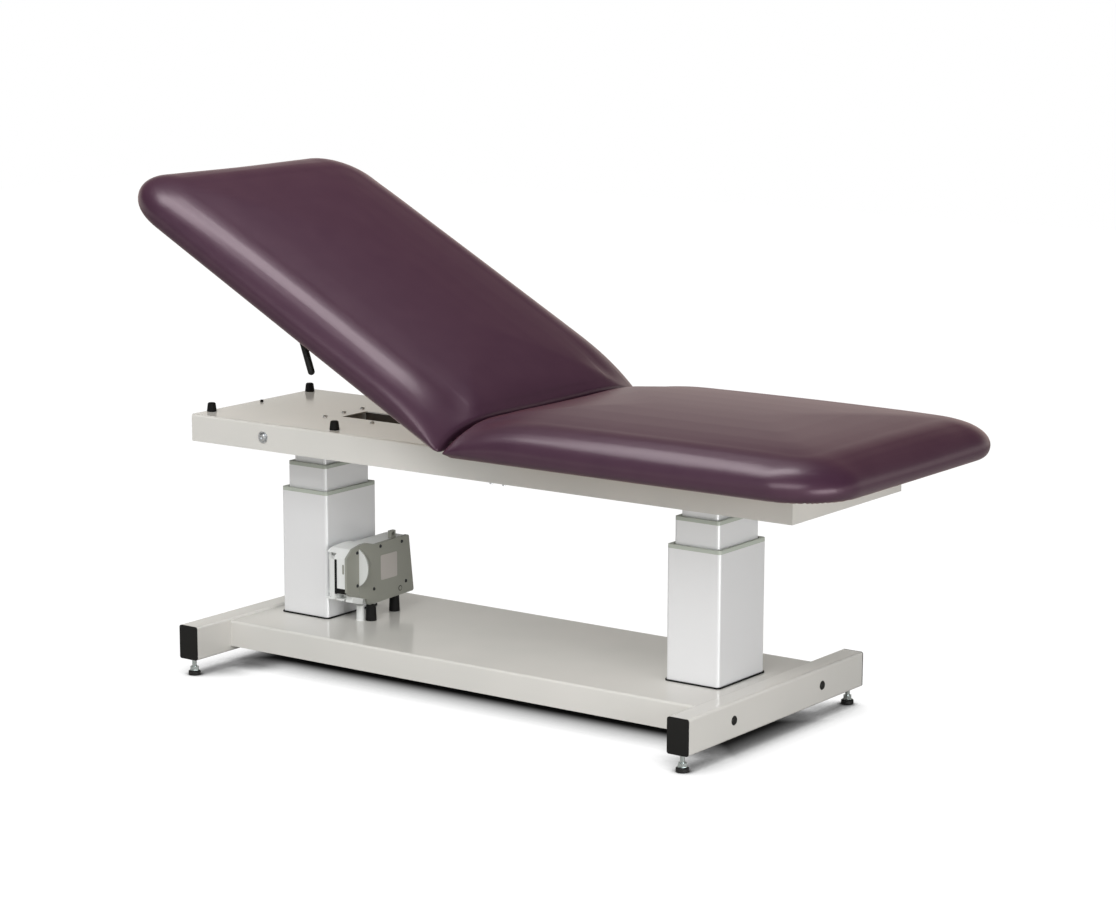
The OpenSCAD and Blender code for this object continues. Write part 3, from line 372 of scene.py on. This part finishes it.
def skin_rings(length):
    """All rings of a section: the pocket for the board, the turn-under, the roll and the crown."""
    rings = [level(length, w, BOARD_SIDE - SLIP, BOARD_END - SLIP) for w in (BOARD_T + SLIP, -0.001)]
    for t in np.radians(np.arange(0, 91, 10)):
        w = NOSE_H - (NOSE_H + BELLY) * math.cos(t)
        rings.append(level(length, w, NOSE_R * (1 - math.sin(t)), hinge_inset(w)))
    for t in np.radians(np.arange(5, 91, 5)):
        w = NOSE_H + (EDGE_H - NOSE_H) * math.sin(t)
        rings.append(level(length, w, ROLL * (1 - math.cos(t)), hinge_inset(w)))
    for s in (0.25, 0.5, 0.75, 0.95):
        w = EDGE_H + CROWN * (1 - (1 - s) ** 2)
        rings.append(level(length, w, ROLL + s * (HALF - ROLL), hinge_inset(EDGE_H) + s * (HALF - ROLL)))
    return rings


# %% [markdown]
# The rings are joined by quads and closed by a lid at each end. Blender's voxel remesh then gives the
# skin an even net of small quads, which a simulation needs. Voxels leave steps, so a shrinkwrap draws
# every point of the net back onto the drawn form. Plain smoothing would make the tight nose smaller.
# Where two points land on the same spot of a sharp edge, a weld makes them one.

# %% Helpers for meshes


def joined(bodies):
    """Points and faces of closed bodies, each given as a row of cross-sections in their order."""
    points, faces = [], []
    for rows in bodies:
        n, m, first = len(rows[0]), len(rows), len(points)
        for i in range(m - 1):
            for k in range(n):
                a, b = first + i * n + k, first + i * n + (k + 1) % n
                faces.append((a, b, b + n, a + n))
        faces += [tuple(reversed(range(first, first + n))), tuple(range(first + (m - 1) * n, first + m * n))]
        points += [p for row in rows for p in row]
    return points, faces


def new_piece(name, points, faces, material):
    """A mesh object from points in metres, smooth up to 40 degrees, with one material."""
    mesh = bpy.data.meshes.new(name)
    mesh.from_pydata([tuple(p) for p in points], [], faces)
    mesh.validate()
    mesh.shade_smooth()
    mesh.set_sharp_from_angle(angle=math.radians(40))
    mesh.materials.append(material)
    piece = bpy.data.objects.new(name, mesh)
    bpy.context.scene.collection.objects.link(piece)
    return piece


def settle(piece):
    """Makes the piece's modifiers real, so that none is left on it."""
    shape = bpy.data.meshes.new_from_object(piece.evaluated_get(bpy.context.evaluated_depsgraph_get()))
    piece.modifiers.clear()
    piece.data = shape
    shape.shade_smooth()


def points_of(piece):
    """The piece's vertices as rows of an array."""
    flat = np.zeros(len(piece.data.vertices) * 3)
    piece.data.vertices.foreach_get("co", flat)
    return flat.reshape(-1, 3)


def move_points(piece, points):
    piece.data.vertices.foreach_set("co", np.asarray(points, float).ravel())
    piece.data.update()


def closed_skin(name, length, voxel):
    """The skin of a section as one closed, even net on the drawn form."""
    points, faces = joined([skin_rings(length)])
    drawn, piece = new_piece("drawn_form", points, faces, vinyl), new_piece(name, points, faces, vinyl)
    remesh = piece.modifiers.new("even_net", "REMESH")
    remesh.mode, remesh.voxel_size = "VOXEL", voxel
    wrap = piece.modifiers.new("onto_the_form", "SHRINKWRAP")
    wrap.wrap_method, wrap.target = "NEAREST_SURFACEPOINT", drawn
    weld = piece.modifiers.new("one_point", "WELD")
    weld.merge_threshold = 0.0015
    settle(piece)
    bpy.data.objects.remove(drawn)
    print(name, "skin has", len(piece.data.vertices), "points")
    return piece


# %% [markdown]
# Near the hinge the upholsterer pulls the vinyl down and back, so that the two sections can meet. In the
# photograph the seam stands about 65 mm high in the middle and drops steeply towards its ends. Here it
# is 33 mm high 50 mm in from the side. The skin is lowered fully at the seam, and less and less over
# the next 210 mm. Only what lies above the board's underside moves.

# %% Lower the corners at the hinge
SEAM_SIDE, SEAM_MIDDLE, SEAM_RUN = 0.004, 0.066, 0.075
BLEND_U = 0.210


def seam_height(inset):
    """Height of the seam at that distance in from the side: a steep rise that levels out."""
    return SEAM_MIDDLE - (SEAM_MIDDLE - SEAM_SIDE) * np.exp(-(inset / SEAM_RUN) ** 1.15)


def roll_height(inset):
    """Height of the plain roll at that distance in from the side."""
    across = np.clip(1 - inset / ROLL, 0, 1)
    crown = 1 - np.clip((inset - ROLL) / (HALF - ROLL), 0, 1)
    roll = NOSE_H + (EDGE_H - NOSE_H) * np.sqrt(1 - across ** 2)
    return roll + np.where(inset > ROLL, CROWN * (1 - crown ** 2), 0)


def lower_corners(points):
    """Brings the skin near the hinge down to the seam's height."""
    inset = HALF - np.abs(points[:, 1])
    share = 1 - seam_height(np.maximum(inset, 0)) / roll_height(inset)
    fade = np.clip(1 - points[:, 0] / BLEND_U, 0, 1) ** 2.2
    points[:, 2] *= np.where(points[:, 2] > 0, 1 - np.clip(share, 0, 1) * fade, 1)
    return points


def inside_board(points, length):
    """How far each point lies inside the board's plan outline."""
    u, y = points[:, 0], np.abs(points[:, 1])
    far, side, r = length - BOARD_SIDE, HALF - BOARD_SIDE, FREE_R - BOARD_SIDE
    du, dy = u - far + r, y - side + r
    round_corner = np.where((du > 0) & (dy > 0), r - np.hypot(du, dy), 1)
    return np.minimum.reduce([far - u, side - y, u - BOARD_END, round_corner])


def seat_against(points, length):
    """Keeps the skin on its side of the seam, clear of the hinge and out of the board's space."""
    seam = np.maximum(SEAM_GAP, SEAM_GAP + LEAN * (points[:, 2] - AXIS_RISE))
    at_hinge = (np.abs(points[:, 1]) < HINGE_END) & (points[:, 2] < BOARD_T)
    points[:, 0] = np.maximum(points[:, 0], np.where(at_hinge, HINGE_LIP, seam))
    inside = (points[:, 2] < BOARD_T + 0.0002) & (inside_board(points, length) > 0.004)
    points[inside, 2] = BOARD_T + SLIP
    return points


# %% [markdown]
# Stretched vinyl is what the cloth simulation is for: the skin is pinned where the staples hold it and
# blown up gently from inside, as the foam does. It takes up an even tension, rounder in the open and
# tight at the corners. Foam also limits how far it can go, so no point may move more than a few
# millimetres from the drawn form. A new, well-filled table has no creases, so what the simulation
# adds is shared out among neighbouring points until only the broad swelling is left.

# %% Simulate the skin


def shared_out(piece, moved, times):
    """Each point's move, averaged with its neighbours' moves that many times."""
    ends = np.zeros(len(piece.data.edges) * 2, int)
    piece.data.edges.foreach_get("vertices", ends)
    a, b = ends.reshape(-1, 2).T
    count = np.maximum(np.bincount(ends, minlength=len(moved)), 1)[:, None]
    for _ in range(times):
        total = np.zeros_like(moved)
        np.add.at(total, a, moved[b])
        np.add.at(total, b, moved[a])
        moved = (moved + total / count) / 2
    return moved


VOXEL = 0.007
FRAMES, LIMIT = 16, 0.008
sections = []
for name, length in (("seat_upholstery", SEAT_LEN), ("backrest_upholstery", BACK_LEN)):
    piece = closed_skin(name, length, VOXEL)
    drawn = seat_against(lower_corners(points_of(piece)), length)
    move_points(piece, drawn)
    sections.append((piece, length, drawn.copy()))

for piece, length, drawn in sections:
    stapled = piece.vertex_groups.new(name="stapled")
    on_board = (drawn[:, 2] < BOARD_T + 0.001) & (inside_board(drawn, length) > -0.001)
    held = (drawn[:, 2] < 0) | on_board
    stapled.add([int(i) for i in np.nonzero(held)[0]], 1.0, "REPLACE")
    cloth = piece.modifiers.new("vinyl_over_foam", "CLOTH")
    cloth.settings.quality = 4
    cloth.settings.mass = 0.4
    cloth.settings.tension_stiffness = cloth.settings.compression_stiffness = 30
    cloth.settings.bending_stiffness = 10
    cloth.settings.use_pressure = True
    cloth.settings.uniform_pressure_force = 1.5
    cloth.settings.vertex_group_mass = "stapled"
    cloth.settings.effector_weights.gravity = 0
    cloth.collision_settings.use_collision = False
    cloth.point_cache.frame_start, cloth.point_cache.frame_end = 1, FRAMES
for step in range(1, FRAMES + 1):
    bpy.context.scene.frame_set(step)
for piece, length, drawn in sections:
    settle(piece)
    moved = points_of(piece) - drawn
    reach = np.linalg.norm(moved, axis=1)
    print(piece.name, "moves up to %.1f mm, %.1f mm on average"
          % (1000 * reach.max(), 1000 * reach.mean()))
    moved *= (LIMIT * np.tanh(reach / LIMIT) / np.maximum(reach, 1e-9))[:, None]
    move_points(piece, seat_against(drawn + shared_out(piece, moved, 40), length))
bpy.context.scene.frame_set(1)

# %% [markdown]
# The seat lies along +X from the hinge and the backrest leans back from it, so each skin is now carried
# to its place. Foam near the hinge is squeezed when the backrest rises and opens out when it lies flat.

# %% Put the cushions in place
base = Matrix.Translation(HINGE) @ Matrix.Translation((0, 0, -AXIS_RISE))
turned = (Matrix.Translation(HINGE) @ Matrix.Rotation(BACK_ANGLE, 4, "Y") @ Matrix.Rotation(math.pi, 4, "Z")
          @ Matrix.Translation((0, 0, -AXIS_RISE)))
for (piece, _, _), place, node in zip(sections, (base, turned), ("seat_cushion", "backrest_cushion")):
    piece.data.transform(place)
    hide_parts(node)
    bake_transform(piece)
    print(piece.name, "box", points_of(piece).min(0).round(3), points_of(piece).max(0).round(3))

# %% [markdown]
# Under each board the vinyl is pulled 38 mm inwards, cut by hand, and stapled every 42 mm. That strip
# lies flat on the board's underside: one band along the sides and the free end, with a slightly uneven
# inner edge. A staple shows only its crown, a flat wire 11 mm long and 1.4 mm wide that dips into the
# vinyl at both ends. It is given as places along the wire, each with the height of the wire's underside.

# %% Wrap and staples under the boards
WRAP_IN, WRAP_OUT, STAPLED_AT, WRAP_START, STEP, PITCH = 0.060, 0.0225, 0.048, 0.055, 0.015, 0.042
CROWN_LINE, WIRE = ((-0.0055, -0.0011), (-0.0048, -0.0021), (0.0048, -0.0021), (0.0055, -0.0011)), 0.0014
IN_VINYL, SHAKE = -0.0008, 0.004
chance = np.random.default_rng(7)


def run_round(length, inset):
    """Points (u, y) along the sides and the free end at that inset, from one hinge corner to the other."""
    r = FREE_R - inset
    near_half = [(u, inset - HALF) for u in np.arange(WRAP_START, length - FREE_R, STEP)]
    near_half += [(length - FREE_R + r * math.sin(t), FREE_R - HALF - r * math.cos(t))
                  for t in np.linspace(0, math.pi / 2, 13)]
    near_half += [(length - inset, y) for y in np.arange(FREE_R - HALF + STEP, -STEP / 2, STEP)]
    return np.array(near_half + [(u, -y) for u, y in reversed(near_half)])


def wrap_rows(length):
    """Cross-sections of the strip of vinyl, from its outer edge at the turn-under to its cut inner edge."""
    outer, inner = run_round(length, WRAP_OUT), run_round(length, WRAP_IN)
    uneven = chance.uniform(0.9, 1.0, (len(outer), 1))
    return [[(*a, -0.0003), (*a, -0.0032), (*(0.75 * a + 0.25 * b), -0.0014), (*b, -0.0012), (*b, -0.0003)]
            for a, b in zip(outer, outer + uneven * (inner - outer))]


def staple_rows(length):
    """Cross-sections of every staple, a little unevenly spaced along the strip."""
    path = run_round(length, STAPLED_AT)
    run = np.concatenate([[0], np.cumsum(np.linalg.norm(np.diff(path, axis=0), axis=1))])
    staples = []
    even_stops = np.arange(PITCH / 2, run[-1], PITCH)
    for s in even_stops + chance.uniform(-SHAKE, SHAKE, len(even_stops)):
        at, ahead = (np.array([np.interp(q, run, path[:, i]) for i in (0, 1)]) for q in (s, s + 0.004))
        along = (ahead - at) / np.linalg.norm(ahead - at)
        across = np.array([-along[1], along[0]]) * WIRE / 2
        staples.append([[(*(at + t * along + side * across), w)
                         for side, w in ((-1, IN_VINYL), (-1, low), (1, low), (1, IN_VINYL))]
                        for t, low in CROWN_LINE])
    return staples


for name, length, place in (("seat", SEAT_LEN, base), ("backrest", BACK_LEN, turned)):
    for part, rows, finish, slot in (("wrap", [wrap_rows(length)], vinyl, "upholstery"),
                                     ("staples", staple_rows(length), zinc, "zinc_steel")):
        piece = new_piece(name + "_" + part, *joined(rows), finish)
        piece.data.transform(place)
        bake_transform(piece)

# %% [markdown]
# The control unit carries a bare rating plate of satin film, without any print, and a round moulding mark
# near its corner, whose dark rim is painted shade in the mark's groove. On its near side are a latch and
# two black plates of painted shade: a strip in the gap beside the bracket's arm, and a patch in a dark
# recess low down. Each is a thin plate with round corners, set on its face.

# %% Plates on the control unit
film = moulded("label_film", "#b5b0ab", 0.8, 0.05, Roughness=0.3, IOR=1.5)


def plate(name, at, turns, width, height, radius, thick, finish):
    """A thin plate on a face of the control unit, turned from lying flat by Euler angles in degrees."""
    rows = []
    for level_z, inset in ((-0.0003, 0), (thick - 0.0002, 0), (thick, 0.0002)):
        a, b, r = width / 2 - inset, height / 2 - inset, radius - inset
        rows.append([(x * (a - r) + r * math.cos(t), y * (b - r) + r * math.sin(t), level_z)
                     for x, y, first in ((1, 1, 0), (-1, 1, 90), (-1, -1, 180), (1, -1, 270))
                     for t in map(math.radians, range(first, first + 91, 15))])
    piece = new_piece(name, *joined([rows]), finish)
    stood = Euler([math.radians(t) for t in turns]).to_matrix().to_4x4()
    piece.data.transform(Matrix.Translation(at) @ stood)
    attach(piece, "base")


FRONT, NEAR = (90, 0, 90), (90, 0, 0)
plate("rating_plate", (-0.4711, 0.031, 0.221), FRONT, 0.058, 0.057, 0.003, 0.0005, film)
# painted shade: a dark ring for the shade in the moulding mark's groove
plate("moulding_mark_painted_groove_shade", (-0.4711, 0.071, 0.162), FRONT, 0.0125, 0.0125, 0.0062, 0.0004, rubber)
plate("moulding_mark", (-0.4711, 0.071, 0.162), FRONT, 0.0095, 0.0095, 0.0047, 0.0007, cover)
plate("housing_latch", (-0.4850, -0.1143, 0.236), NEAR, 0.005, 0.022, 0.002, 0.0008, cover)
# painted shade: a black strip in the gap between the housing and the bracket's arm
plate("housing_gap_painted_shade", (-0.5063, -0.1143, 0.2175), NEAR, 0.0065, 0.079, 0.002, 0.001, rubber)
# painted shade: a black patch in a dark recess low on the near side
plate("housing_recess_painted_shade", (-0.4900, -0.1143, 0.1855), NEAR, 0.027, 0.0115, 0.002, 0.001, rubber)

# %% [markdown]
# ## The studio
# A pale floor, on which the table's shadow near the base is painted. To the camera it glows just enough
# to be white, and less in two places, which are painted shadow. One is close around the tubes and the
# feet, which the Ambient Occlusion node measures. The other lies far in under the pan, where no lamp
# reaches: black 130 mm in from its edge and white 30 mm in. In reflections the floor is light grey, and
# the light that it throws up from below is weaker still. This painted shadow under the pan is measured
# from a rectangle: the pan's sides, and 60 mm beyond the ends of the base.

# %% Floor
floor_finish = bpy.data.materials.new("pale_floor")
floor_finish.use_nodes = True
tree = floor_finish.node_tree
tree.nodes.clear()
corners = [Vector(c) for node in ("base_pan", "cross_tube_head", "cross_tube_foot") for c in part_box(node)]
pan_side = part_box("base_pan")[1][1]
low_x, high_x = min(c.x for c in corners), max(c.x for c in corners)
half_x, middle = (high_x - low_x) / 2 + 0.06, Vector(((high_x + low_x) / 2, 0, 0))
place = add(tree, "ShaderNodeTexCoord").outputs["Object"]
offset = add(tree, "ShaderNodeVectorMath", {0: place, 1: middle}, operation="SUBTRACT")
span = add(tree, "ShaderNodeVectorMath", {0: offset.outputs[0]}, operation="ABSOLUTE")
beyond = add(tree, "ShaderNodeVectorMath", {0: span.outputs[0], 1: (half_x, pan_side, 0)},
             operation="SUBTRACT")
each = add(tree, "ShaderNodeSeparateXYZ", {"Vector": beyond.outputs[0]})
under = add(tree, "ShaderNodeMath", {0: each.outputs["X"], 1: each.outputs["Y"]}, operation="MAXIMUM")
# painted shadow: the floor's light to the camera fades out far in under the pan
painted_shadow_under_pan = add(tree, "ShaderNodeMapRange", {"Value": under.outputs[0], "From Min": -0.13, "From Max": -0.03},
           interpolation_type="SMOOTHSTEP")
# painted shadow close around the tubes and the feet, read from ambient occlusion
open_sky = add(tree, "ShaderNodeAmbientOcclusion", {"Distance": 0.12}, samples=16)
painted_contact_shadow = add(tree, "ShaderNodeMapRange", {"Value": open_sky.outputs["AO"], "From Min": 0.35,
                                           "From Max": 0.8}, interpolation_type="SMOOTHSTEP")
# both painted shadows together dim the floor's emission to the camera
glow_with_painted_shadow = add(tree, "ShaderNodeMath", {0: painted_shadow_under_pan.outputs["Result"], 1: painted_contact_shadow.outputs["Result"]},
           operation="MULTIPLY")
seen = add(tree, "ShaderNodeAddShader", {
    0: add(tree, "ShaderNodeBsdfDiffuse", {"Color": (0.05, 0.05, 0.05, 1)}).outputs[0],
    1: add(tree, "ShaderNodeEmission", {"Strength": glow_with_painted_shadow.outputs[0]}).outputs[0]})
ray = add(tree, "ShaderNodeLightPath")
paint = add(tree, "ShaderNodeMix", {"Factor": ray.outputs["Is Glossy Ray"], "A": linear("#9b9996"),
                                    "B": linear("#bdbbb7")}, data_type="RGBA")
plain = add(tree, "ShaderNodeBsdfDiffuse", {"Color": paint.outputs["Result"]})
either = add(tree, "ShaderNodeMixShader", {0: ray.outputs["Is Camera Ray"], 1: plain.outputs[0],
                                           2: seen.outputs[0]})
add(tree, "ShaderNodeOutputMaterial", {"Surface": either.outputs[0]})
floor = new_piece("floor", [(-9, -9, 0), (9, -9, 0), (9, 9, 0), (-9, 9, 0)], [(0, 1, 2, 3)], floor_finish)

# %% [markdown]
# The room is a studio with warm white walls and a dark ceiling. The camera sees plain white. Glossy rays
# see the walls fade out between 12 and 24 degrees up, which is why the seat's top shines and the backrest
# stays dark. Everything else gets a broad light, full at the front left and about a sixth of that at the
# back right.

# %% Room
world = bpy.data.worlds.new("studio")
world.use_nodes = True
bpy.context.scene.world = world
tree = world.node_tree
tree.nodes.clear()
sky = add(tree, "ShaderNodeTexCoord").outputs["Generated"]
direction = add(tree, "ShaderNodeSeparateXYZ", {"Vector": sky})
walls = add(tree, "ShaderNodeValToRGB", {"Fac": direction.outputs["Z"]})
walls.color_ramp.elements[0].position, walls.color_ramp.elements[0].color = 0.2, (0.80, 0.77, 0.715, 1)
walls.color_ramp.elements[1].position, walls.color_ramp.elements[1].color = 0.4, (0.03, 0.03, 0.03, 1)
ray = add(tree, "ShaderNodeLightPath")
shown = add(tree, "ShaderNodeBackground", {"Color": (1, 1, 1, 1), "Strength": 1.0})
mirrored = add(tree, "ShaderNodeBackground", {"Color": walls.outputs["Color"], "Strength": 1.0})
toward = add(tree, "ShaderNodeVectorMath", {0: sky, 1: (-0.3, -0.3, 0)}, operation="DOT_PRODUCT")
strength = add(tree, "ShaderNodeMath", {0: toward.outputs["Value"], 1: 0.575}, operation="ADD")
even = add(tree, "ShaderNodeBackground", {"Color": (1, 1, 1, 1), "Strength": strength.outputs[0]})
glossy = add(tree, "ShaderNodeMath", {0: ray.outputs["Is Glossy Ray"], 1: ray.outputs["Is Transmission Ray"]},
             operation="MAXIMUM")
bounced = add(tree, "ShaderNodeMixShader", {0: glossy.outputs[0], 1: even.outputs[0], 2: mirrored.outputs[0]})
final = add(tree, "ShaderNodeMixShader", {0: ray.outputs["Is Camera Ray"], 1: bounced.outputs[0],
                                          2: shown.outputs[0]})
add(tree, "ShaderNodeOutputWorld", {"Surface": final.outputs[0]})

# %% [markdown]
# Three softboxes do the modelling: a long one overhead, whose reflection is the streak across the
# backrest's roll, a broad one high in front, which draws the streak along the seat's nose and lifts the
# near sides, and a low one at the foot end for the faces there.

# %% Softboxes


def softbox(name, place, aim, size, watts):
    """A rectangular lamp at a place in metres, turned towards its aim."""
    lamp = bpy.data.lights.new(name, "AREA")
    lamp.shape, lamp.size, lamp.size_y, lamp.energy = "RECTANGLE", size[0], size[1], watts
    holder = bpy.data.objects.new(name, lamp)
    holder.location = place
    holder.rotation_euler = (Vector(aim) - Vector(place)).to_track_quat("-Z", "Y").to_euler()
    bpy.context.scene.collection.objects.link(holder)


softbox("overhead_softbox", (-0.65, 0.2, 3.0), (-0.5, 0, 0.7), (1.9, 0.8), 38)
softbox("front_softbox", (0.9, -3.0, 2.9), (0, 0, 0.4), (3.4, 1.9), 92)
softbox("side_softbox", (3.0, -1.0, 0.6), (0.7, -0.1, 0.1), (1.8, 1.0), 36)
bpy.context.scene.view_settings.view_transform = "Standard"
